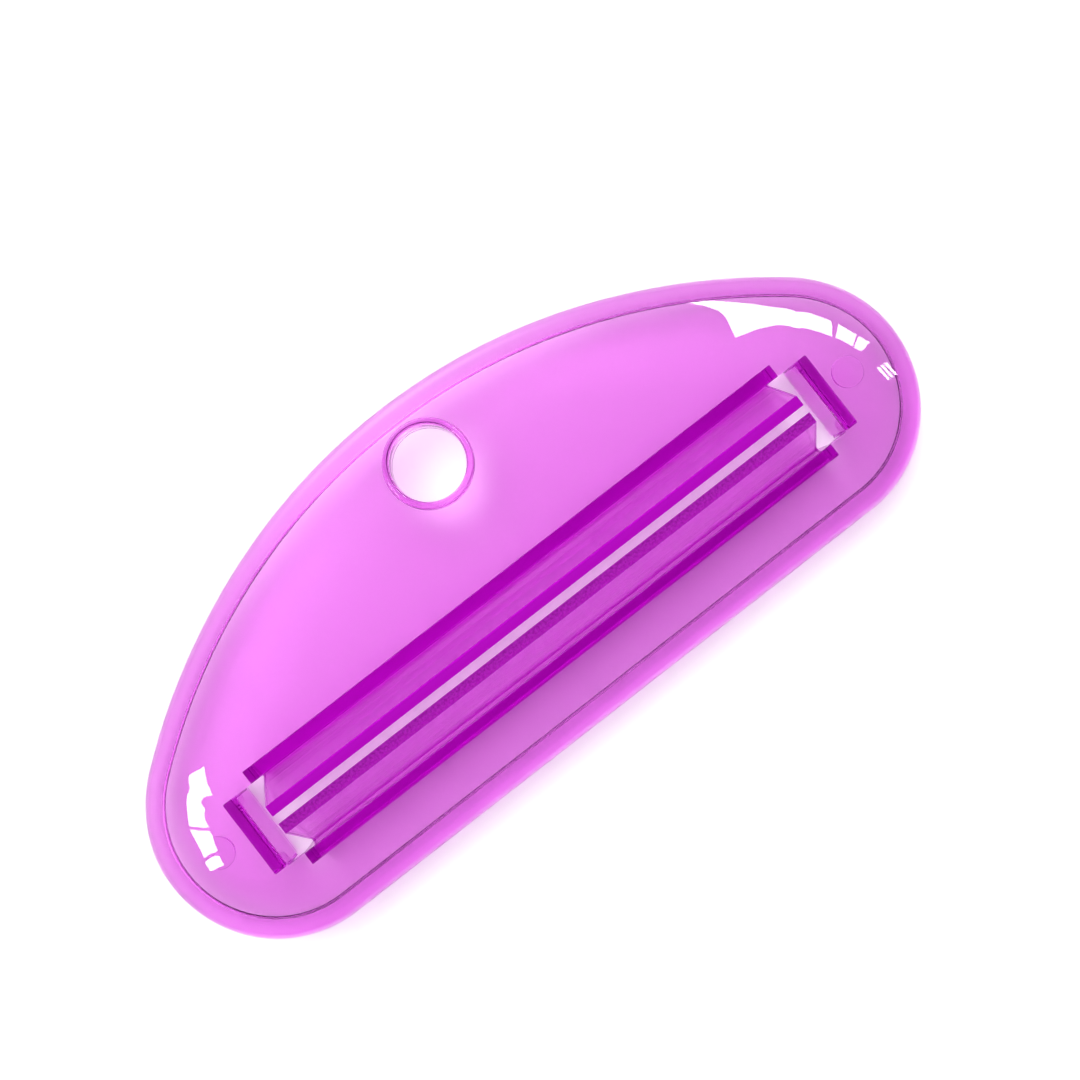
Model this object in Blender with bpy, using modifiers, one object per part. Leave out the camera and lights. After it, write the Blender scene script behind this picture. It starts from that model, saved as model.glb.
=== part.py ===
"""Toothpaste tube squeezer: a half-moon plate with a long slot, whose two springy jaws wring a tube flat.

Metres, +Z up, +X along the slot, +Y from the straight side towards the arch. The origin is under the middle of
the outline, on the surface that the squeezer stands on, which it touches with the two long walls of its slot.
"""
import math

import bmesh
import bpy

# Outline: a straight side, two round ends and an arch, all tangent to each other
LENGTH = 0.0956
WIDTH = 0.0398
END_RADIUS = 0.0139

# Plate: a shell of even wall, flat in the middle, crowned towards its edge and rounded over at the rim
FACE_HEIGHT = 0.0075
PLATE_WALL = 0.0016
RIM_RADIUS = 0.0019
RIM_LAND = 0.0005

# Crown: how far inside the outline the face begins to fall, and its radius, at set places. A place is a share of
# a half turn from the arch's top, over the shoulder, round an end to the straight side's middle.
CROWN_PLACE_shares = (0, 0.1, 0.185, 0.25, 0.33, 0.42, 0.6, 1)
CROWN_WIDTHS = (0.004, 0.0093, 0.0113, 0.0106, 0.01, 0.0096, 0.0093, 0.0035)
CROWN_RADII = (0.06, 0.05, 0.0305, 0.0255, 0.026, 0.026, 0.028, 0.03)

# Slot, with its centre line parallel to the straight side
SLOT_LENGTH = 0.0724
SLOT_WIDTH = 0.00886
SLOT_TO_STRAIGHT_EDGE = 0.01265

# Long walls, hanging down from the slot's long edges to the surface that the squeezer stands on
WALL = 0.0015
WALL_NOTCH = 0.0021
WALL_ROUND = 0.0003

# End ribs, hanging down from the slot's ends
RIB_WALL = 0.00185
RIB_DEPTH = 0.0044
RIB_DEEPER_OUTSIDE = 0.0025
RIB_ROUND = 0.00035

# Jaws: lips that rise from the walls' bottoms to meet along the slot's middle, flush with the face
JAW_GAP = 0.00085
JAW_TIP_WIDTH = 0.00128
JAW_PAST_WALL = 0.0003
JAW_GROOVE_DEPTH = 0.0062
JAW_ROUND = 0.00018
JAW_FOOT_CLEARANCE = 0.0001
FLEX_SEAM = 0.0003
FLEX_HEIGHT = 0.0009

# Hang hole with its raised bead on the face and its collar under the plate
HOLE_DIAMETER = 0.0079
HOLE_TO_ARCH = 0.0078
BEAD_WIDTH = 0.0008
BEAD_RISE = 0.0003
COLLAR_DEPTH = 0.0011

# How far a cutting body runs past what it cuts, and how far a joined body reaches into its neighbour
OVERRUN = 0.001
BITE = 0.0008
WELD_DISTANCE = 0.00001

# Facets
END_STEPS = 20
ARCH_STEPS = 34
STRAIGHT_STEPS = 20
CROWN_STEPS = 4
RIM_STEPS = 5
HOLE_STEPS = 48
BEAD_STEPS = 3
ROUND_SEGMENTS = 2

# Sizes that follow
STRAIGHT_Y = -WIDTH / 2
ARCH_TOP_Y = WIDTH / 2
END_X = LENGTH / 2 - END_RADIUS
END_Y = STRAIGHT_Y + END_RADIUS
SLOT_Y = STRAIGHT_Y + SLOT_TO_STRAIGHT_EDGE
HOLE_Y = ARCH_TOP_Y - HOLE_TO_ARCH
HOLE_RADIUS = HOLE_DIAMETER / 2
WALL_LENGTH = SLOT_LENGTH - 2 * WALL_NOTCH
JAW_LENGTH = WALL_LENGTH + 2 * JAW_PAST_WALL
PLATE_UNDERSIDE = FACE_HEIGHT - PLATE_WALL


def clear_scene():
    """Removes whatever the scene holds."""
    for thing in list(bpy.data.objects):
        bpy.data.objects.remove(thing, do_unlink=True)


def new_collection(name):
    """A collection of the scene."""
    group = bpy.data.collections.new(name)
    bpy.context.scene.collection.children.link(group)
    return group


def move_to(thing, group):
    """Puts an object in one collection only."""
    for old in list(thing.users_collection):
        old.objects.unlink(thing)
    group.objects.link(thing)


def clear_purple_plastic(name, colour, roughness):
    """The moulding's plastic, tinted and see-through."""
    plastic = bpy.data.materials.new(name)
    plastic.use_nodes = True
    shader = plastic.node_tree.nodes["Principled BSDF"]
    shader.inputs["Base Color"].default_value = colour
    shader.inputs["Roughness"].default_value = roughness
    shader.inputs["Metallic"].default_value = 0.0
    shader.inputs["Transmission Weight"].default_value = 1.0
    return plastic


def arc(centre_x, centre_y, radius, start, end, steps):
    """Points of an arc from start up to, but not at, end, each with the direction straight out of it."""
    stations = []
    for step in range(steps):
        angle = start + (end - start) * step / steps
        out_x = math.cos(angle)
        out_y = math.sin(angle)
        stations.append((centre_x + radius * out_x, centre_y + radius * out_y, out_x, out_y))
    return stations


def outline():
    """The half-moon outline, anticlockwise from the right end of the straight side.

    The arch touches its top and both end circles from outside, which fixes its centre's height.
    """
    reach = ARCH_TOP_Y - END_RADIUS
    arch_y = (END_X**2 + END_Y**2 - reach**2) / (2 * (END_Y - reach))
    arch_radius = ARCH_TOP_Y - arch_y
    touch = math.atan2(END_Y - arch_y, END_X)
    stations = arc(END_X, END_Y, END_RADIUS, -math.pi / 2, touch, END_STEPS)
    stations += arc(0.0, arch_y, arch_radius, touch, math.pi - touch, ARCH_STEPS)
    stations += arc(-END_X, END_Y, END_RADIUS, math.pi - touch, 3 * math.pi / 2, END_STEPS)
    for step in range(STRAIGHT_STEPS):
        stations.append((END_X * (2 * step / STRAIGHT_STEPS - 1), STRAIGHT_Y, 0.0, -1.0))
    return stations


def eased(share, places, values):
    """A value between those at set places, each stretch rising or falling as a smooth step."""
    for k in range(len(places) - 1):
        if share <= places[k + 1]:
            part = (share - places[k]) / (places[k + 1] - places[k])
            return values[k] + (values[k + 1] - values[k]) * part * part * (3 - 2 * part)
    return values[-1]


def crown(out_x, out_y):
    """The crown's width and radius where the outline faces a direction, alike on both halves."""
    share = math.atan2(abs(out_x), out_y) / math.pi
    return eased(share, CROWN_PLACE_shares, CROWN_WIDTHS), eased(share, CROWN_PLACE_shares, CROWN_RADII)


def face_profile(width, radius):
    """Distance inside the outline and drop below the face, from the flat out over the crown and the rim."""
    meet = math.asin((width - RIM_RADIUS) / (radius - RIM_RADIUS))
    profile = []
    for step in range(CROWN_STEPS + 1):
        slope = meet * step / CROWN_STEPS
        profile.append((width - radius * math.sin(slope), radius * (1 - math.cos(slope))))
    crown_drop = profile[-1][1]
    for step in range(1, RIM_STEPS + 1):
        slope = meet + (math.pi / 2 - meet) * step / RIM_STEPS
        drop = crown_drop + RIM_RADIUS * (math.cos(meet) - math.cos(slope))
        profile.append((RIM_RADIUS * (1 - math.sin(slope)), drop))
    profile.append((0.0, profile[-1][1] + RIM_LAND))
    return profile


def plate(name, group):
    """The plate: its outer face lofted ring by ring from the flat to the rim, then given its wall."""
    stations = outline()
    mesh = bpy.data.meshes.new(name)
    work = bmesh.new()
    columns = []
    for x, y, out_x, out_y in stations:
        column = []
        for inside, drop in face_profile(*crown(out_x, out_y)):
            column.append(work.verts.new((x - out_x * inside, y - out_y * inside, FACE_HEIGHT - drop)))
        columns.append(column)
    work.faces.new([column[0] for column in columns])
    for here, after in zip(columns, columns[1:] + columns[:1]):
        for ring in range(len(here) - 1):
            work.faces.new((here[ring], here[ring + 1], after[ring + 1], after[ring]))
    bmesh.ops.recalc_face_normals(work, faces=work.faces)
    work.to_mesh(mesh)
    work.free()
    mesh.shade_smooth()
    mesh.set_sharp_from_angle(angle=math.radians(40))
    thing = bpy.data.objects.new(name, mesh)
    group.objects.link(thing)
    wall = thing.modifiers.new("wall", "SOLIDIFY")
    wall.thickness = PLATE_WALL
    wall.offset = -1.0
    wall.use_even_offset = True
    return thing


def tool_look(thing, group):
    """A body that joins or cuts the shell, kept apart from the parts and drawn as wire."""
    move_to(thing, group)
    thing.hide_render = True
    thing.display_type = "WIRE"
    return thing


def block(name, size, centre, round_off, group):
    """A box with its edges rounded off."""
    bpy.ops.mesh.primitive_cube_add(size=1.0, location=centre)
    thing = bpy.context.object
    thing.name = name
    thing.scale = size
    bpy.ops.object.transform_apply(location=False, rotation=False, scale=True)
    if round_off:
        edges = thing.modifiers.new("rounding", "BEVEL")
        edges.width = round_off
        edges.segments = ROUND_SEGMENTS
    return tool_look(thing, group)


def turned(name, profile, centre, group):
    """A profile of radius and height, from the axis down its outer side and back, turned about the hole's axis."""
    mesh = bpy.data.meshes.new(name)
    edges = [(i, i + 1) for i in range(len(profile) - 1)]
    mesh.from_pydata([(radius, 0.0, height) for radius, height in profile], edges, [])
    thing = bpy.data.objects.new(name, mesh)
    thing.location = centre
    group.objects.link(thing)
    turn = thing.modifiers.new("turn", "SCREW")
    turn.steps = HOLE_STEPS
    turn.render_steps = HOLE_STEPS
    turn.use_merge_vertices = True
    turn.merge_threshold = WELD_DISTANCE
    return tool_look(thing, group)


def bead_quarter(radius_start, rise_start, radius_end, rise_end):
    """Radius and height along a quarter of an ellipse, flat at the start and upright at the end."""
    points = []
    for step in range(BEAD_STEPS + 1):
        angle = math.pi / 2 * step / BEAD_STEPS
        radius = radius_start + (radius_end - radius_start) * math.sin(angle)
        points.append((radius, FACE_HEIGHT + rise_end + (rise_start - rise_end) * math.cos(angle)))
    return points


def eyelet(group):
    """The bead on the face and the collar under the plate, before the hole is cut through them."""
    crest = HOLE_RADIUS + BEAD_WIDTH / 2
    outside = HOLE_RADIUS + BEAD_WIDTH
    bottom = PLATE_UNDERSIDE - COLLAR_DEPTH
    profile = [(0.0, FACE_HEIGHT + BEAD_RISE)]
    profile += bead_quarter(crest, BEAD_RISE, outside, 0.0)
    profile += [(outside, bottom), (0.0, bottom)]
    return turned("eyelet", profile, (0.0, HOLE_Y, 0.0), group)


def hole_cutter(group):
    """The hole with its rounded mouth."""
    crest = HOLE_RADIUS + BEAD_WIDTH / 2
    top = FACE_HEIGHT + BEAD_RISE + OVERRUN
    profile = [(0.0, top), (crest, top)]
    profile += bead_quarter(crest, BEAD_RISE, HOLE_RADIUS, 0.0)
    profile += [(HOLE_RADIUS, 0.0), (0.0, 0.0)]
    return turned("hang_hole", profile, (0.0, HOLE_Y, 0.0), group)


def long_wall(side, group):
    """One long wall of the slot, reaching into the slot by the bite that the slot's cutter takes off again."""
    top = PLATE_UNDERSIDE + BITE
    inner = SLOT_WIDTH / 2 - BITE
    outer = SLOT_WIDTH / 2 + WALL
    size = (WALL_LENGTH, outer - inner, top)
    centre = (0.0, SLOT_Y + side * (inner + outer) / 2, top / 2)
    return block("long_wall", size, centre, WALL_ROUND, group)


def end_rib(side, group):
    """One end rib of the slot, as deep as named below the face, its bottom sloping down towards its outer side."""
    top = PLATE_UNDERSIDE + BITE
    bottom = FACE_HEIGHT - RIB_DEPTH
    inner = SLOT_LENGTH / 2 - BITE
    outer = SLOT_LENGTH / 2 + RIB_WALL
    size = (outer - inner, SLOT_WIDTH, top - bottom)
    centre = (side * (inner + outer) / 2, SLOT_Y, (top + bottom) / 2)
    rib = block("end_rib", size, centre, RIB_ROUND, group)
    for corner in rib.data.vertices:
        if corner.co.z < 0 and side * corner.co.x > 0:
            corner.co.z -= RIB_DEEPER_OUTSIDE
    return rib


def slot_cutter(group):
    """The slot, cut through the plate and flush with the walls' and ribs' inner faces."""
    height = FACE_HEIGHT + 2 * OVERRUN
    return block("slot", (SLOT_LENGTH, SLOT_WIDTH, height), (0.0, SLOT_Y, FACE_HEIGHT / 2), 0.0, group)


def combine(thing, tool, operation):
    """Joins a body to the shell or cuts it out."""
    step = thing.modifiers.new(tool.name, "BOOLEAN")
    step.operation = operation
    step.object = tool
    step.solver = "EXACT"


def shell(parts, tools):
    """The rigid moulding: plate, walls, ribs and eyelet in one, with the slot and the hang hole cut through."""
    thing = plate("shell", parts)
    for side in (1, -1):
        combine(thing, long_wall(side, tools), "UNION")
        combine(thing, end_rib(side, tools), "UNION")
    combine(thing, eyelet(tools), "UNION")
    combine(thing, slot_cutter(tools), "DIFFERENCE")
    combine(thing, hole_cutter(tools), "DIFFERENCE")
    return thing


def jaw_section():
    """Corners of a jaw's section: distance from the slot's centre line and height.

    The lip leans from its root at the wall's bottom to its tip at the face, as a slab of even thickness.
    """
    tip_inner = JAW_GAP / 2
    tip_outer = tip_inner + JAW_TIP_WIDTH
    groove = SLOT_WIDTH / 2 - FLEX_SEAM
    groove_height = FACE_HEIGHT - JAW_GROOVE_DEPTH
    lean = (groove - tip_outer) / JAW_GROOVE_DEPTH
    foot = JAW_FOOT_CLEARANCE
    root_inner = tip_inner + lean * (FACE_HEIGHT - foot)
    return [
        (groove, foot),
        (groove, groove_height),
        (tip_outer, FACE_HEIGHT),
        (tip_inner, FACE_HEIGHT),
        (root_inner, foot),
    ]


def jaw(name, side, plastic, group):
    """One jaw: its section extruded along the slot, with its origin on the line that it flexes about."""
    hinge = SLOT_WIDTH / 2 - FLEX_SEAM
    curve = bpy.data.curves.new(name, "CURVE")
    curve.dimensions = "2D"
    curve.fill_mode = "BOTH"
    curve.extrude = JAW_LENGTH / 2
    corners = jaw_section()
    spline = curve.splines.new("POLY")
    spline.points.add(len(corners) - 1)
    spline.use_cyclic_u = True
    for point, (across, height) in zip(spline.points, corners):
        point.co = (across - hinge, height - FLEX_HEIGHT, 0.0, 1.0)
    curve.materials.append(plastic)
    thing = bpy.data.objects.new(name, curve)
    thing.location = (0.0, SLOT_Y + side * hinge, FLEX_HEIGHT)
    thing.rotation_euler = (math.pi / 2, 0.0, side * math.pi / 2)
    group.objects.link(thing)
    weld = thing.modifiers.new("weld", "WELD")
    weld.merge_threshold = WELD_DISTANCE
    edges = thing.modifiers.new("rounding", "BEVEL")
    edges.width = JAW_ROUND
    edges.segments = ROUND_SEGMENTS
    edges.limit_method = "ANGLE"
    edges.angle_limit = math.radians(20)
    return thing


def main():
    """Builds the squeezer."""
    clear_scene()
    parts = new_collection("toothpaste tube squeezer")
    tools = new_collection("joining and cutting bodies")
    glossy = clear_purple_plastic("clear purple plastic", (0.80, 0.06, 0.83, 1.0), 0.05)
    ground = clear_purple_plastic("clear purple plastic with a frosted tip", (0.80, 0.06, 0.83, 1.0), 0.2)
    shell(parts, tools).data.materials.append(glossy)
    jaw("arch_side_jaw", 1, glossy, parts)
    jaw("straight_side_jaw", -1, ground, parts)


main()
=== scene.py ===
"""Looks of a toothpaste tube squeezer: one glossy, tinted, see-through moulding on a white table.

Metres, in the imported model's own frame: +X along the slot, +Y from the straight side to the arch, +Z up.
"""
import math

import bmesh
import bpy
import numpy as np
from mathutils import Matrix, Vector


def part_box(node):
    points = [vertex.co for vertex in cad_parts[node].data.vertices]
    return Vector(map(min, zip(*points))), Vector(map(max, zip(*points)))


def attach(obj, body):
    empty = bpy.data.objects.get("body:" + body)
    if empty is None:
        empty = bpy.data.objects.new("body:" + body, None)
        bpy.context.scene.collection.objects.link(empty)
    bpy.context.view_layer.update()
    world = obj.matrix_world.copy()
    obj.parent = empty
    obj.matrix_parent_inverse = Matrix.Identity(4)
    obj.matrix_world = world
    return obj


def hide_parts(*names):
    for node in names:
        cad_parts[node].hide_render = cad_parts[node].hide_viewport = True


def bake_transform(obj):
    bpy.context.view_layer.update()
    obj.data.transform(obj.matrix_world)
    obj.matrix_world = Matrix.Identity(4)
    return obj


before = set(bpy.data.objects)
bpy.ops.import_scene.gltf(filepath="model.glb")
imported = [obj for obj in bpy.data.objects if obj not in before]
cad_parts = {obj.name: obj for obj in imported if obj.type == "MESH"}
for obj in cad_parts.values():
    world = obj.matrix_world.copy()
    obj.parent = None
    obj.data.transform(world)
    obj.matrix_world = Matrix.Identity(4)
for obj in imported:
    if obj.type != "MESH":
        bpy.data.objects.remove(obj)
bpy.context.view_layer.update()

# Places read from the frame
SHELL_LOW, SHELL_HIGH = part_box("shell")
JAW_LOW, JAW_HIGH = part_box("arch_side_jaw")
FAR_JAW_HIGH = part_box("straight_side_jaw")[1]
LENGTH = SHELL_HIGH.x - SHELL_LOW.x
STRAIGHT_Y = SHELL_LOW.y
ARCH_TOP_Y = SHELL_HIGH.y
FACE_HEIGHT = JAW_HIGH.z
BEAD_RISE = SHELL_HIGH.z - FACE_HEIGHT
SLOT_Y = (JAW_LOW.y + FAR_JAW_HIGH.y) / 2
JAW_LENGTH = JAW_HIGH.x - JAW_LOW.x

# Plate and rim: the rim's wall is thicker than the plate's, and its land is the upright part outside
MM = 0.001
END_RADIUS = 13.9 * MM
PLATE_WALL = 1.6 * MM
RIM_RADIUS = 1.9 * MM
RIM_LAND = 0.5 * MM
RIM_WALL = 2.3 * MM
RIM_FILLET = 0.5 * MM
LIP_ROUND = 0.15 * MM

# Crown: how far inside the outline the face begins to fall, and its radius, against the share of a half turn
# from the arch's top over the shoulder and round an end to the straight side
CROWN_PLACE_SHARES = (0.0, 0.13, 0.2167, 0.3, 0.42, 0.6, 1.0)
CROWN_WIDTH = (4 * MM, 11.2 * MM, 12 * MM, 11.5 * MM, 10 * MM, 9.3 * MM, 3.5 * MM)
CROWN_RADIUS = (58 * MM, 38 * MM, 34.5 * MM, 32 * MM, 28.5 * MM, 30 * MM, 30 * MM)

# Slot, walls and ribs: the seam is the hair's breadth between a wall and its foot, which is the jaw lip's
SLOT_LENGTH = 72.4 * MM
SLOT_WIDTH = 8.86 * MM
SLOT_CORNER = 0.25 * MM
SLOT_MOUTH_ROUND = 0.12 * MM
WALL = 1.5 * MM
WALL_ROUND = 0.08 * MM
WALL_FOOT = 2 * MM
WALL_SEAM = 0.01 * MM
RIB_WALL = 1.85 * MM
RIB_DEPTH = 4.4 * MM
RIB_DEEPER_OUTSIDE = 2.6 * MM
RIB_SLOPE_WIDTH = 0.6 * MM
RIB_ROUND = 0.15 * MM

# Jaws: the root bends over its own width, from the wall's face towards the slot's middle
JAW_GAP = 0.85 * MM
JAW_TIP_WIDTH = 1.28 * MM
JAW_GROOVE_DEPTH = 6.2 * MM
JAW_TIP_ROUND = 0.07 * MM
JAW_ROOT_ROUND = 0.5 * MM
JAW_GROOVE_ROUND = 0.1 * MM
JAW_END_ROUND = 0.05 * MM

# Hang hole
HOLE_RADIUS = 3.95 * MM
HOLE_TO_ARCH = 7.8 * MM
BEAD_WIDTH = 0.8 * MM
COLLAR_DEPTH = 1.1 * MM
COLLAR_ROUND = 0.2 * MM

# Round marks of the mould's ejector pins, under the plate at both ends
MARK_RADIUS = 1.68 * MM
MARK_DEPTH = 0.35 * MM
MARK_ROUND = 0.05 * MM
MARK_PLACES = ((40.5 * MM, -6.9 * MM), (-41.3 * MM, -6.4 * MM))

# How far a cutting body runs past what it cuts, how far a joined body reaches into its neighbour, and how
# close two points are when they count as one
OVERRUN = 1 * MM
BITE = 0.8 * MM
SAME_POINT = 0.0001 * MM

# Grids
END_STATIONS = 90
ARCH_STATIONS = 120
STRAIGHT_STATIONS = 60
CROWN_ROWS = 24
RIM_ROWS = 20
LIP_ROWS = 4
ROUND_ROWS = 6
HOLE_STATIONS = 120

# Shading: the angle in degrees above which an edge stays sharp, and how strongly broad flats lead
BODY_CREASE = 35
LIP_CREASE = 25
FLATS_LEAD = 100

# White, for light and for what has no colour of its own
WHITE = "#FFFFFF"

# Plastic: the dye's absorption per metre is its density times what its colour lacks. The painted glow is purple
# light that the plastic gives off through its depth, though it is no lamp. The lips have more of both, as their
# colour in the photograph asks.
POLYSTYRENE_IOR = 1.55
DYE = "#F000F2"
DYE_DENSITY = 450.0
LIP_DYE_DENSITY = 720.0
PAINTED_GLOW_COLOUR = "#FF00FF"
BODY_PAINTED_GLOW = 7.0
ARCH_SIDE_PAINTED_GLOW = 60.0
STRAIGHT_SIDE_PAINTED_GLOW = 44.0

# Lip tips: the colour of a painted glow for the light seen down the whole lip, its share of the surface there,
# and the ground tip's grain, which breaks the glow up.
# The photograph's grain is finer than this and has more contrast.
ARCH_SIDE_PAINTED_TIP_GLOW = "#B50FC1"
STRAIGHT_SIDE_PAINTED_TIP_GLOW = "#A82BB2"
PAINTED_TIP_GLOW_SHARE = 0.85
GRAIN = 0.3 * MM
GRAIN_DETAIL = 2.0
GRAIN_ROUGHNESS = 0.7
GRAIN_LOW = 0.38
GRAIN_HIGH = 0.62
GRAIN_DARKEST = 0.35

# Table: the lift is what the camera sees more of it than the lamps give
TABLE_WHITE = "#FAFAFA"
TABLE_ROUGHNESS = 0.6
TABLE_REACH = 3.0
TABLE_GAP = 0.02 * MM
TABLE_LIFT = 0.15

# Camera, solved from the slot's corners and the hang hole in the photograph
CAMERA_PLACE = Vector((1.07, -2.40, 118.32)) * MM
CAMERA_AIM = Vector((4.28, -1.15, 7.5)) * MM
CAMERA_UP = Vector((0.6114, 0.7909, 0.0266))
CAMERA_LENS = 36.03
CAMERA_SENSOR = 36.0
CAMERA_NEAREST = 5 * MM

# Window panes: each corner's turn from +X and tilt from straight up, in degrees, as seen from the object
WINDOW_DISTANCE = 2.0
WINDOW_PANES = (
    ((21.0, 36.7), (24.5, 43.2), (32.0, 43.0), (35.2, 43.8), (40.5, 44.8), (42.0, 44.1), (39.9, 42.6),
     (38.1, 40.9), (36.2, 38.2), (33.0, 33.3), (30.6, 30.5), (29.8, 34.3), (28.2, 36.3), (25.9, 36.5)),
    ((4.1, 38.3), (7.8, 43.9), (14.9, 43.3), (21.5, 43.4), (18.6, 36.9), (10.3, 37.4)),
    ((-0.6, 39.4), (0.8, 45.7), (6.3, 43.9), (3.1, 38.3)),
    ((151.6, 41.0), (152.6, 36.0), (158.0, 33.1), (163.1, 31.9), (157.4, 40.9)),
    ((159.1, 40.8), (166.0, 32.1), (174.2, 31.4), (182.0, 32.4), (180.5, 35.8), (179.8, 39.4), (173.0, 39.2)),
    ((181.1, 40.4), (181.6, 37.0), (183.3, 33.1), (185.3, 34.0), (184.9, 37.3), (184.2, 40.8)),
    ((353.9, 40.8), (353.7, 42.1), (351.0, 43.8), (351.1, 42.5)),
    ((353.9, 42.9), (353.7, 44.2), (351.0, 45.9), (351.1, 44.6)),
    ((353.9, 45.0), (353.7, 46.3), (351.0, 48.0), (351.1, 46.7)),
)
WINDOW_STRENGTH = 22.0

# Room: an even share of light from all round, and soft glows, each as turn, tilt, strength and focus
ROOM_LIGHT = 0.02
GLOWS = ((0, 50, 0.2, 12), (180, 50, 0.1, 12), (90, 70, 4.6, 12), (270, 70, 0.4, 12))

# The room is shaded straight overhead, where the camera hangs, and clears between two tilts in degrees
OVERHEAD_SHADE = 0.2
OVERHEAD_FROM = 10.0
OVERHEAD_TO = 30.0

# Ceiling: its lamps are soft round patches, each as x, y and strength
CEILING_HEIGHT = 2.0
CEILING_REACH = 2.7
LAMP_REACH = 1.5
CEILING_LAMPS = ((0.0, 1.2, 8.5), (0.0, -1.2, 1.3), (1.2, 0.3, 0.4), (-1.2, 0.3, 3.4))

END_X = LENGTH / 2 - END_RADIUS
END_Y = STRAIGHT_Y + END_RADIUS
HOLE_MIDDLE = (0.0, ARCH_TOP_Y - HOLE_TO_ARCH)
UNDERSIDE = FACE_HEIGHT - PLATE_WALL
QUARTER = np.linspace(0, math.pi / 2, ROUND_ROWS)


def piece(name, points, faces):
    """A mesh object from arrays of points and faces, its doubles merged and its faces turned outwards."""
    mesh = bpy.data.meshes.new(name)
    mesh.from_pydata(points.tolist(), [], [list(face) for face in faces])
    work = bmesh.new()
    work.from_mesh(mesh)
    bmesh.ops.remove_doubles(work, verts=work.verts, dist=SAME_POINT)
    bmesh.ops.recalc_face_normals(work, faces=work.faces)
    work.to_mesh(mesh)
    work.free()
    thing = bpy.data.objects.new(name, mesh)
    bpy.context.scene.collection.objects.link(thing)
    return thing


def skin(stations, rows):
    """Quads of a grid whose stations run round a closed path, with a face over its first row and its last."""
    here = np.arange(stations)[:, None]
    after = (here + 1) % stations
    row = np.arange(rows - 1)[None]
    quads = np.stack(
        [here * rows + row, here * rows + row + 1, after * rows + row + 1, after * rows + row], axis=-1
    ).reshape(-1, 4)
    first = (np.arange(stations) * rows).tolist()
    last = (np.arange(stations) * rows + rows - 1).tolist()
    return quads.tolist() + [first, last]


def wrapped(name, x, y, z):
    """A closed piece from the grids of its places, with a station in each line and a row in each column."""
    return piece(name, np.stack([x, y, z], axis=-1).reshape(-1, 3), skin(*x.shape))


def half_moon():
    """Points on the outline and the directions straight out of it: end circle, arch, end circle, straight.

    The arch touches its top and both end circles, so its centre is as far from the top as from the far side of
    an end circle.
    """
    reach = ARCH_TOP_Y - END_RADIUS
    arch_y = (END_X**2 + END_Y**2 - reach**2) / (2 * (END_Y - reach))
    touch = math.atan2(END_Y - arch_y, END_X)
    right = np.linspace(-math.pi / 2, touch, END_STATIONS, endpoint=False)
    arch = np.linspace(touch, math.pi - touch, ARCH_STATIONS, endpoint=False)
    left = np.linspace(math.pi - touch, 1.5 * math.pi, END_STATIONS, endpoint=False)
    turn = np.concatenate([right, arch, left])
    radius = np.concatenate([0 * right + END_RADIUS, 0 * arch + ARCH_TOP_Y - arch_y, 0 * left + END_RADIUS])
    centre_x = np.concatenate([0 * right + END_X, 0 * arch, 0 * left - END_X])
    centre_y = np.concatenate([0 * right + END_Y, 0 * arch + arch_y, 0 * left + END_Y])
    out = np.stack([np.cos(turn), np.sin(turn)], axis=1)
    points = np.stack([centre_x, centre_y], axis=1) + radius[:, None] * out
    along = np.linspace(-END_X, END_X, STRAIGHT_STATIONS, endpoint=False)
    straight = np.stack([along, 0 * along + STRAIGHT_Y], axis=1)
    straight_out = np.stack([0 * along, 0 * along - 1], axis=1)
    return np.concatenate([points, straight]), np.concatenate([out, straight_out])


def eased(share, places, values):
    """A smooth curve through values at set places: cubic between two, with the slopes of their neighbours."""
    places = np.array(places)
    values = np.array(values)
    slopes = np.gradient(values, places)
    stretch = np.clip(np.searchsorted(places, share, side="right") - 1, 0, len(places) - 2)
    span = places[stretch + 1] - places[stretch]
    part = (share - places[stretch]) / span
    rest = 1 - part
    ends = values[stretch] * (1 + 2 * part) * rest**2 + values[stretch + 1] * (1 + 2 * rest) * part**2
    return ends + span * (slopes[stretch] * part * rest**2 - slopes[stretch + 1] * rest * part**2)


def crown(out):
    """The crown's width and radius where the outline faces a direction, alike on both halves."""
    share = np.arctan2(np.abs(out[:, 0]), out[:, 1]) / math.pi
    return eased(share, CROWN_PLACE_SHARES, CROWN_WIDTH), eased(share, CROWN_PLACE_SHARES, CROWN_RADIUS)


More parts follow.
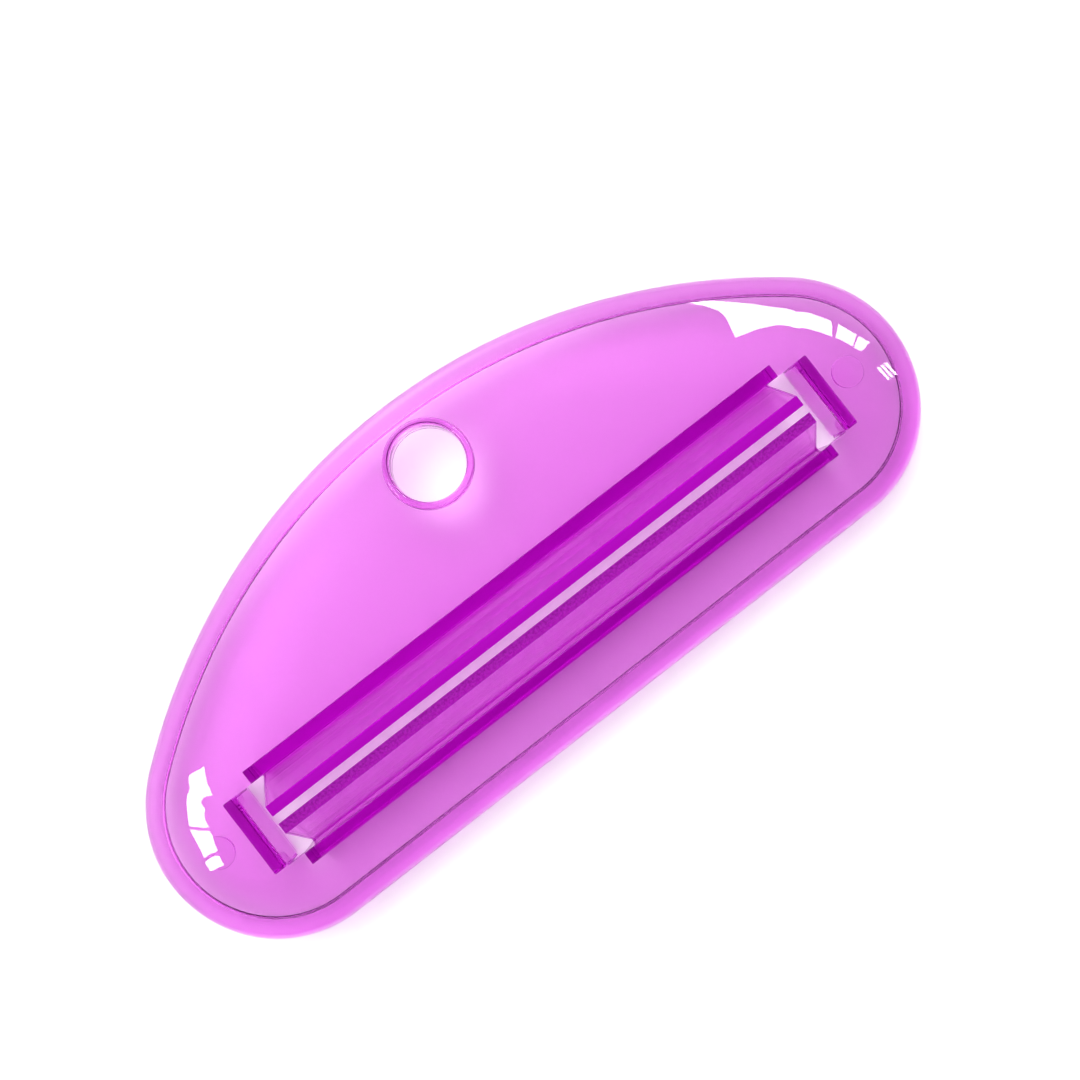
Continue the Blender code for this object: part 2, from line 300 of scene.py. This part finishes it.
def rim_section(width, radius):
    """Distance inside the outline and drop below the face, from the flat face round the rim to the underside.

    Outside, the crown's arc meets the rim's arc where their slopes agree. The lip ends square with rounded
    edges. Inside, a fillet joins the thicker rim to the crown's arc less the wall, again where slopes agree.
    """
    width = width[:, None]
    radius = radius[:, None]
    meet = np.arcsin((width - RIM_RADIUS) / (radius - RIM_RADIUS))
    fall = meet * np.linspace(0, 1, CROWN_ROWS)
    rim = meet + (math.pi / 2 - meet) * np.linspace(0, 1, RIM_ROWS)[1:]
    level = radius * (1 - np.cos(meet)) + RIM_RADIUS * np.cos(meet)
    bottom = level + RIM_LAND
    inside = [width - radius * np.sin(fall), RIM_RADIUS * (1 - np.sin(rim))]
    drop = [radius * (1 - np.cos(fall)), level - RIM_RADIUS * np.cos(rim)]
    corner = np.linspace(0, math.pi / 2, LIP_ROWS)[None]
    inside += [0 * width + LIP_ROUND * (1 - np.cos(corner))]
    drop += [bottom - LIP_ROUND * (1 - np.sin(corner))]
    inside += [0 * width + RIM_WALL - LIP_ROUND * (1 - np.sin(corner))]
    drop += [bottom - LIP_ROUND * (1 - np.cos(corner))]
    fillet_inside = RIM_WALL + RIM_FILLET
    arm = radius - PLATE_WALL - RIM_FILLET
    meet = np.arcsin((width - fillet_inside) / arm)
    fillet_drop = radius - arm * np.cos(meet)
    turn = meet + (math.pi / 2 - meet) * np.linspace(1, 0, RIM_ROWS)
    inside += [fillet_inside - RIM_FILLET * np.sin(turn)]
    drop += [fillet_drop - RIM_FILLET * np.cos(turn)]
    fall = meet * np.linspace(1, 0, CROWN_ROWS)[1:]
    inside += [width - (radius - PLATE_WALL) * np.sin(fall)]
    drop += [radius - (radius - PLATE_WALL) * np.cos(fall)]
    return np.concatenate(inside, axis=1), np.concatenate(drop, axis=1)


def plate():
    """The rim's section carried round the outline, closed by the flat of the face and of the underside."""
    points, out = half_moon()
    inside, drop = rim_section(*crown(out))
    x = points[:, :1] - out[:, :1] * inside
    y = points[:, 1:] - out[:, 1:] * inside
    return wrapped("shell_moulding", x, y, FACE_HEIGHT - drop)


def four_corners():
    """A quarter turn at each corner of a rectangle: the angles, and which side in x and in y each is on."""
    turn = np.concatenate([QUARTER + k * math.pi / 2 for k in range(4)])[:, None]
    side_x = np.repeat([1, -1, -1, 1], ROUND_ROWS)[:, None]
    side_y = np.repeat([1, 1, -1, -1], ROUND_ROWS)[:, None]
    return turn, side_x, side_y


def rounded_box(name, low, high, radius):
    """A sphere's surface whose eight octants are moved apart to the corners of a smaller box."""
    low = np.array(low)
    high = np.array(high)
    turn, side_x, side_y = four_corners()
    rise = np.concatenate([QUARTER - math.pi / 2, QUARTER])[None]
    side_z = np.repeat([-1, 1], ROUND_ROWS)[None]
    core = (high - low) / 2 - radius
    middle = (high + low) / 2
    x = middle[0] + side_x * core[0] + radius * np.cos(turn) * np.cos(rise)
    y = middle[1] + side_y * core[1] + radius * np.sin(turn) * np.cos(rise)
    z = middle[2] + side_z * core[2] + radius * np.sin(rise) + 0 * turn
    return wrapped(name, x, y, z)


def turned(name, radius, height, middle):
    """A profile of radius and height, turned about an upright axis."""
    turn = np.linspace(0, 2 * math.pi, HOLE_STATIONS, endpoint=False)[:, None]
    x = middle[0] + np.cos(turn) * radius
    y = middle[1] + np.sin(turn) * radius
    return wrapped(name, x, y, height + 0 * turn)


def eyelet():
    """The bead, half an ellipse on the face, and the collar under the plate, before the hole is cut."""
    crest = HOLE_RADIUS + BEAD_WIDTH / 2
    outside = HOLE_RADIUS + BEAD_WIDTH
    bottom = UNDERSIDE - COLLAR_DEPTH
    radius = [crest + BEAD_WIDTH / 2 * np.sin(QUARTER), outside - COLLAR_ROUND * (1 - np.cos(QUARTER))]
    height = [FACE_HEIGHT + BEAD_RISE * np.cos(QUARTER), bottom + COLLAR_ROUND * (1 - np.sin(QUARTER))]
    return turned("eyelet", np.concatenate(radius), np.concatenate(height), HOLE_MIDDLE)


def ejector_mark(middle):
    """The slightly proud round mark that an ejector pin left on the underside."""
    bottom = UNDERSIDE - MARK_DEPTH
    radius = [[MARK_RADIUS], MARK_RADIUS - MARK_ROUND * (1 - np.cos(QUARTER))]
    height = [[UNDERSIDE + BITE], bottom + MARK_ROUND * (1 - np.sin(QUARTER))]
    return turned("ejector_mark", np.concatenate(radius), np.concatenate(height), middle)


def hole_cutter():
    """The hang hole, whose mouth is the bead's inner quarter."""
    crest = HOLE_RADIUS + BEAD_WIDTH / 2
    radius = [[crest], crest - BEAD_WIDTH / 2 * np.sin(QUARTER), [HOLE_RADIUS]]
    height = [[FACE_HEIGHT + BEAD_RISE + OVERRUN], FACE_HEIGHT + BEAD_RISE * np.cos(QUARTER), [0.0]]
    return turned("hang_hole", np.concatenate(radius), np.concatenate(height), HOLE_MIDDLE)


def slot_cutter():
    """The slot's opening: a rectangle with small round corners, whose mouth flares by a quarter circle."""
    turn, side_x, side_y = four_corners()
    flare = SLOT_MOUTH_ROUND * (1 - np.cos(QUARTER))
    flare = np.concatenate([[0], flare, flare[-1:]])[None]
    height = FACE_HEIGHT - SLOT_MOUTH_ROUND * (1 - np.sin(QUARTER))
    height = np.concatenate([[-OVERRUN], height, [FACE_HEIGHT + OVERRUN]])[None]
    reach = SLOT_CORNER + flare
    x = side_x * (SLOT_LENGTH / 2 - SLOT_CORNER) + reach * np.cos(turn)
    y = SLOT_Y + side_y * (SLOT_WIDTH / 2 - SLOT_CORNER) + reach * np.sin(turn)
    return wrapped("slot", x, y, height + 0 * turn)


def long_wall(side):
    """One long wall above its foot, reaching into the slot by the bite that the slot's cutter takes off."""
    near = SLOT_Y + side * (SLOT_WIDTH / 2 - BITE)
    far = SLOT_Y + side * (SLOT_WIDTH / 2 + WALL)
    low = (-JAW_LENGTH / 2, min(near, far), WALL_FOOT + WALL_SEAM)
    high = (JAW_LENGTH / 2, max(near, far), UNDERSIDE + BITE)
    return rounded_box("long_wall", low, high, WALL_ROUND)


def rounded_path(corners, radii):
    """An anticlockwise polygon with an arc in each corner: its points and the directions straight out."""
    corners = np.array(corners)
    points = []
    outs = []
    for before, here, after, radius in zip(np.roll(corners, 1, 0), corners, np.roll(corners, -1, 0), radii):
        into = (here - before) / np.linalg.norm(here - before)
        away = (after - here) / np.linalg.norm(after - here)
        start = math.atan2(-into[0], into[1])
        end = math.atan2(-away[0], away[1])
        sweep = (end - start + math.pi) % (2 * math.pi) - math.pi
        turn = start + sweep * np.linspace(0, 1, ROUND_ROWS)
        out = np.stack([np.cos(turn), np.sin(turn)], axis=1)
        arm = math.copysign(radius, sweep)
        centre = here - into * radius * math.tan(abs(sweep) / 2) - out[0] * arm
        points.append(centre + out * arm)
        outs.append(out)
    return np.concatenate(points), np.concatenate(outs)


def carried(corners, radii, reach, end_round):
    """A section carried both ways by a reach and rounded off at the ends: how far along, and place in it."""
    section, out = rounded_path(corners, radii)
    along = reach - end_round * (1 - np.sin(QUARTER))
    shrink = end_round * (1 - np.cos(QUARTER))
    along = np.concatenate([-along[::-1], along])[None] + 0 * section[:, :1]
    inset = np.concatenate([shrink[::-1], shrink])[None]
    return along, section[:, :1] - out[:, :1] * inset, section[:, 1:] - out[:, 1:] * inset


def end_rib(side):
    """One end rib of the slot, its bottom sloping steeply down to a low flat on its outer side."""
    near = SLOT_LENGTH / 2 - BITE
    far = SLOT_LENGTH / 2 + RIB_WALL
    bottom = FACE_HEIGHT - RIB_DEPTH
    low = bottom - RIB_DEEPER_OUTSIDE
    corners = [
        (near, bottom),
        (near + BITE, bottom),
        (near + BITE + RIB_SLOPE_WIDTH, low),
        (far, low),
        (far, UNDERSIDE + BITE),
        (near, UNDERSIDE + BITE),
    ]
    radii = [RIB_ROUND] * len(corners)
    y, x, z = carried(corners, radii, SLOT_WIDTH / 2, RIB_ROUND)
    return wrapped("end_rib", side * x, SLOT_Y + y, z)


def combine(thing, tool, operation):
    """Joins a body to the moulding or cuts it out."""
    step = thing.modifiers.new(tool.name, "BOOLEAN")
    step.operation = operation
    step.object = tool
    step.solver = "EXACT"
    bpy.context.view_layer.update()
    solid = bpy.data.meshes.new_from_object(thing.evaluated_get(bpy.context.evaluated_depsgraph_get()))
    thing.modifiers.clear()
    thing.data = solid
    bpy.data.objects.remove(tool)


def smooth(thing, angle):
    """Shades a piece smooth up to an angle, with the broad flats keeping their own direction."""
    thing.data.shade_smooth()
    thing.data.set_sharp_from_angle(angle=math.radians(angle))
    even = thing.modifiers.new("broad flats lead", "WEIGHTED_NORMAL")
    even.keep_sharp = True
    even.weight = FLATS_LEAD


def shell_moulding():
    """The rigid moulding in one: plate, walls, ribs, eyelet and marks, with slot and hole cut through."""
    thing = plate()
    for side in (1, -1):
        combine(thing, long_wall(side), "UNION")
        combine(thing, end_rib(side), "UNION")
    combine(thing, eyelet(), "UNION")
    for middle in MARK_PLACES:
        combine(thing, ejector_mark(middle), "UNION")
    combine(thing, slot_cutter(), "DIFFERENCE")
    combine(thing, hole_cutter(), "DIFFERENCE")
    smooth(thing, BODY_CREASE)
    return thing


def jaw_lip(name, side):
    """A wall's foot and the slab that leans up from it to the face, as one section carried along the slot."""
    tip_near = JAW_GAP / 2
    tip_far = tip_near + JAW_TIP_WIDTH
    wall_near = SLOT_WIDTH / 2
    wall_far = wall_near + WALL
    groove = FACE_HEIGHT - JAW_GROOVE_DEPTH
    lean = (wall_near - tip_far) / JAW_GROOVE_DEPTH
    root_near = tip_near + lean * FACE_HEIGHT
    corners = [
        (root_near, 0.0),
        (wall_far, 0.0),
        (wall_far, WALL_FOOT),
        (wall_near, WALL_FOOT),
        (wall_near, groove),
        (tip_far, FACE_HEIGHT),
        (tip_near, FACE_HEIGHT),
    ]
    radii = [JAW_ROOT_ROUND] + [WALL_ROUND] * 3 + [JAW_GROOVE_ROUND] + [JAW_TIP_ROUND] * 2
    x, y, z = carried(corners, radii, JAW_LENGTH / 2, JAW_END_ROUND)
    thing = wrapped(name, x, SLOT_Y + side * y, z)
    smooth(thing, LIP_CREASE)
    return thing


def linear(code):
    """An sRGB hex colour as linear red, green, blue and one."""
    values = [int(code[i:i + 2], 16) / 255 for i in (1, 3, 5)]
    return [v / 12.92 if v <= 0.04045 else ((v + 0.055) / 1.055) ** 2.4 for v in values] + [1.0]


def add(tree, kind, settings=None, links=None):
    """Adds a node with its settings, socket values and links."""
    node = tree.nodes.new(kind)
    for name, value in (settings or {}).items():
        if isinstance(name, int) or name in node.inputs:
            node.inputs[name].default_value = value
        else:
            setattr(node, name, value)
    for name, socket in (links or {}).items():
        tree.links.new(socket, node.inputs[name])
    return node


def blank(name):
    """A material with an empty node tree."""
    material = bpy.data.materials.new(name)
    material.use_nodes = True
    material.node_tree.nodes.clear()
    return material


def clear_purple_polystyrene(name, density, painted_glow_strength, painted_tip_glow, grain):
    """Injection-moulded clear polystyrene with a magenta dye: transparent as glass, glossy, dark where thick.

    A painted glow gives off a little purple light from the depth of the plastic, though it is no lamp. A jaw's
    tip has a painted glow on its surface as well, for the light seen down the whole lip, and a ground tip
    breaks it up into grains.
    """
    material = blank(name)
    tree = material.node_tree
    shader = add(tree, "ShaderNodeBsdfPrincipled", {
        "Base Color": linear(WHITE), "Roughness": 0.0, "IOR": POLYSTYRENE_IOR, "Transmission Weight": 1.0,
    })
    dye = add(tree, "ShaderNodeVolumeAbsorption", {"Color": linear(DYE), "Density": density})
    # Painted glow: purple light given off inside the plastic, though it is no lamp
    painted_glow = add(tree, "ShaderNodeEmission", {"Color": linear(PAINTED_GLOW_COLOUR), "Strength": painted_glow_strength})
    dye_and_painted_glow = add(tree, "ShaderNodeAddShader", None, {0: dye.outputs[0], 1: painted_glow.outputs[0]})
    surface = shader
    if painted_tip_glow:
        place = add(tree, "ShaderNodeTexCoord")
        height = add(tree, "ShaderNodeSeparateXYZ", None, {0: place.outputs["Object"]})
        share = add(tree, "ShaderNodeMapRange", {
            "From Min": FACE_HEIGHT - JAW_TIP_ROUND,
            "From Max": FACE_HEIGHT - JAW_TIP_ROUND / 2,
            "To Max": PAINTED_TIP_GLOW_SHARE,
        }, {"Value": height.outputs["Z"]})
        if grain:
            speckle = add(tree, "ShaderNodeTexNoise", {
                "Scale": 1 / grain, "Detail": GRAIN_DETAIL, "Roughness": GRAIN_ROUGHNESS,
            }, {"Vector": place.outputs["Object"]})
            spread = add(tree, "ShaderNodeMapRange", {
                "From Min": GRAIN_LOW, "From Max": GRAIN_HIGH, "To Min": GRAIN_DARKEST, "To Max": 1.0,
            }, {"Value": speckle.outputs[0]})
            share = add(tree, "ShaderNodeMath", {"operation": "MULTIPLY"}, {
                0: share.outputs[0], 1: spread.outputs[0],
            })
        # Painted glow on the tip's surface, for the light seen down the whole lip; it is no lamp
        glow = add(tree, "ShaderNodeEmission", {"Color": linear(painted_tip_glow), "Strength": 1.0})
        surface = add(tree, "ShaderNodeMixShader", None, {
            0: share.outputs[0], 1: shader.outputs[0], 2: glow.outputs[0],
        })
    add(tree, "ShaderNodeOutputMaterial", None, {"Surface": surface.outputs[0], "Volume": dye_and_painted_glow.outputs[0]})
    return material


def white_laminate():
    """White laminate, pressed matt: an even white, which the camera sees a little brighter than it is lit."""
    material = blank("white laminate")
    tree = material.node_tree
    shader = add(tree, "ShaderNodeBsdfPrincipled", {
        "Base Color": linear(TABLE_WHITE), "Roughness": TABLE_ROUGHNESS,
    })
    path = add(tree, "ShaderNodeLightPath")
    lift = add(tree, "ShaderNodeMath", {"operation": "MULTIPLY", 1: TABLE_LIFT}, {
        0: path.outputs["Is Camera Ray"],
    })
    white = add(tree, "ShaderNodeEmission", {"Color": linear(WHITE)}, {"Strength": lift.outputs[0]})
    both = add(tree, "ShaderNodeAddShader", None, {0: shader.outputs[0], 1: white.outputs[0]})
    add(tree, "ShaderNodeOutputMaterial", None, {"Surface": both.outputs[0]})
    return material


def square(name, reach, level, order):
    """A level square about the origin, whose corners' order says which way it faces."""
    corners = [(-reach, -reach, level), (reach, -reach, level), (reach, reach, level), (-reach, reach, level)]
    return piece(name, np.array(corners), [order])


def table():
    """The table under the object: a broad plane, a hair's breadth below the feet."""
    thing = square("table", TABLE_REACH, -TABLE_GAP, (0, 1, 2, 3))
    thing.data.materials.append(white_laminate())


def camera():
    """The photograph's view from above."""
    lens = bpy.data.cameras.new("camera")
    lens.lens = CAMERA_LENS
    lens.sensor_width = CAMERA_SENSOR
    lens.clip_start = CAMERA_NEAREST
    thing = bpy.data.objects.new("camera", lens)
    bpy.context.scene.collection.objects.link(thing)
    back = (CAMERA_PLACE - CAMERA_AIM).normalized()
    right = CAMERA_UP.cross(back).normalized()
    up = back.cross(right)
    turn = Matrix((right, up, back)).transposed()
    thing.matrix_world = Matrix.Translation(CAMERA_PLACE) @ turn.to_4x4()
    bpy.context.scene.camera = thing


def towards(turn, tilt):
    """The direction at an angle from +X and an angle from straight up."""
    turn = math.radians(turn)
    tilt = math.radians(tilt)
    return Vector((math.sin(tilt) * math.cos(turn), math.sin(tilt) * math.sin(turn), math.cos(tilt)))


def daylight():
    """The bright sky behind a window pane."""
    material = blank("daylight")
    tree = material.node_tree
    glow = add(tree, "ShaderNodeEmission", {"Color": linear(WHITE), "Strength": WINDOW_STRENGTH})
    add(tree, "ShaderNodeOutputMaterial", None, {"Surface": glow.outputs[0]})
    return material


def pane(name, corners):
    """One bright window pane, a polygon that shows in gloss only; its corners are turns and tilts."""
    ends = np.array([towards(turn, tilt) for turn, tilt in corners]) * WINDOW_DISTANCE
    thing = piece(name, ends, [tuple(range(len(ends)))])
    thing.data.materials.append(daylight())
    thing.visible_camera = False
    thing.visible_diffuse = False
    thing.visible_transmission = False
    thing.visible_shadow = False


def lit_plaster():
    """A white ceiling's soft round patches of light: each is brightest in its middle and fades smoothly."""
    material = blank("lit ceiling")
    tree = material.node_tree
    place = add(tree, "ShaderNodeTexCoord")
    total = add(tree, "ShaderNodeValue")
    total.outputs[0].default_value = 0
    for x, y, strength in CEILING_LAMPS:
        away = add(tree, "ShaderNodeVectorMath", {"operation": "DISTANCE", 1: (x, y, CEILING_HEIGHT)}, {
            0: place.outputs["Object"],
        })
        soft = add(tree, "ShaderNodeMapRange", {
            "interpolation_type": "SMOOTHSTEP", "From Max": LAMP_REACH, "To Min": strength, "To Max": 0.0,
        }, {"Value": away.outputs["Value"]})
        total = add(tree, "ShaderNodeMath", {"operation": "ADD"}, {0: total.outputs[0], 1: soft.outputs[0]})
    glow = add(tree, "ShaderNodeEmission", {"Color": linear(WHITE)}, {"Strength": total.outputs[0]})
    add(tree, "ShaderNodeOutputMaterial", None, {"Surface": glow.outputs[0]})
    return material


def ceiling():
    """The ceiling, facing down, which lights the object but doesn't show in its gloss."""
    thing = square("ceiling", CEILING_REACH, CEILING_HEIGHT, (0, 3, 2, 1))
    thing.data.materials.append(lit_plaster())
    thing.visible_camera = False
    thing.visible_glossy = False
    thing.visible_shadow = False


def room():
    """Room light: an even share from all round and the soft glows, with a pale grey backdrop for the camera.

    The background's own grey, 0.8 of white, dims all of them alike.
    """
    world = bpy.data.worlds.new("room")
    bpy.context.scene.world = world
    world.use_nodes = True
    tree = world.node_tree
    tree.nodes.clear()
    place = add(tree, "ShaderNodeTexCoord")
    total = add(tree, "ShaderNodeValue")
    total.outputs[0].default_value = ROOM_LIGHT
    for turn, tilt, strength, focus in GLOWS:
        facing = add(tree, "ShaderNodeVectorMath", {"operation": "DOT_PRODUCT", 1: towards(turn, tilt)}, {
            0: place.outputs["Generated"],
        })
        ahead = add(tree, "ShaderNodeMath", {"operation": "MAXIMUM", 1: 0.0}, {0: facing.outputs["Value"]})
        soft = add(tree, "ShaderNodeMath", {"operation": "POWER", 1: focus}, {0: ahead.outputs[0]})
        total = add(tree, "ShaderNodeMath", {"operation": "MULTIPLY_ADD", 1: strength}, {
            0: soft.outputs[0], 2: total.outputs[0],
        })
    height = add(tree, "ShaderNodeSeparateXYZ", None, {0: place.outputs["Generated"]})
    shade = add(tree, "ShaderNodeMapRange", {
        "interpolation_type": "SMOOTHSTEP",
        "From Min": math.cos(math.radians(OVERHEAD_TO)),
        "From Max": math.cos(math.radians(OVERHEAD_FROM)),
        "To Min": 1.0,
        "To Max": OVERHEAD_SHADE,
    }, {"Value": height.outputs["Z"]})
    total = add(tree, "ShaderNodeMath", {"operation": "MULTIPLY"}, {0: total.outputs[0], 1: shade.outputs[0]})
    path = add(tree, "ShaderNodeLightPath")
    total = add(tree, "ShaderNodeMath", {"operation": "MAXIMUM"}, {
        0: total.outputs[0], 1: path.outputs["Is Camera Ray"],
    })
    background = add(tree, "ShaderNodeBackground", None, {"Strength": total.outputs[0]})
    add(tree, "ShaderNodeOutputWorld", None, {"Surface": background.outputs[0]})


def main():
    """Builds the pieces, dresses them and lights them."""
    body = shell_moulding()
    plastic = clear_purple_polystyrene("clear purple polystyrene", DYE_DENSITY, BODY_PAINTED_GLOW, None, 0)
    body.data.materials.append(plastic)
    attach(body, "shell")
    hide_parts("shell")
    frosted = "clear_purple_plastic_frosted_tip"
    # Each jaw: its slot, the strength of the painted glow inside its plastic, its painted tip glow colour and
    # its grain
    for name, side, slot, painted_glow, glow, grain in (
        ("arch_side_jaw", 1, "clear_purple_plastic", ARCH_SIDE_PAINTED_GLOW, ARCH_SIDE_PAINTED_TIP_GLOW, 0),
        ("straight_side_jaw", -1, frosted, STRAIGHT_SIDE_PAINTED_GLOW, STRAIGHT_SIDE_PAINTED_TIP_GLOW, GRAIN),
    ):
        lip = jaw_lip(name + "_lip", side)
        plastic = clear_purple_polystyrene(name + " polystyrene", LIP_DYE_DENSITY, painted_glow, glow, grain)
        lip.data.materials.append(plastic)
        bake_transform(lip)
        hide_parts(name)
    table()
    camera()
    for number, corners in enumerate(WINDOW_PANES):
        pane("window_pane_%d" % number, corners)
    room()
    ceiling()
    bpy.context.scene.view_settings.view_transform = "Standard"


main()
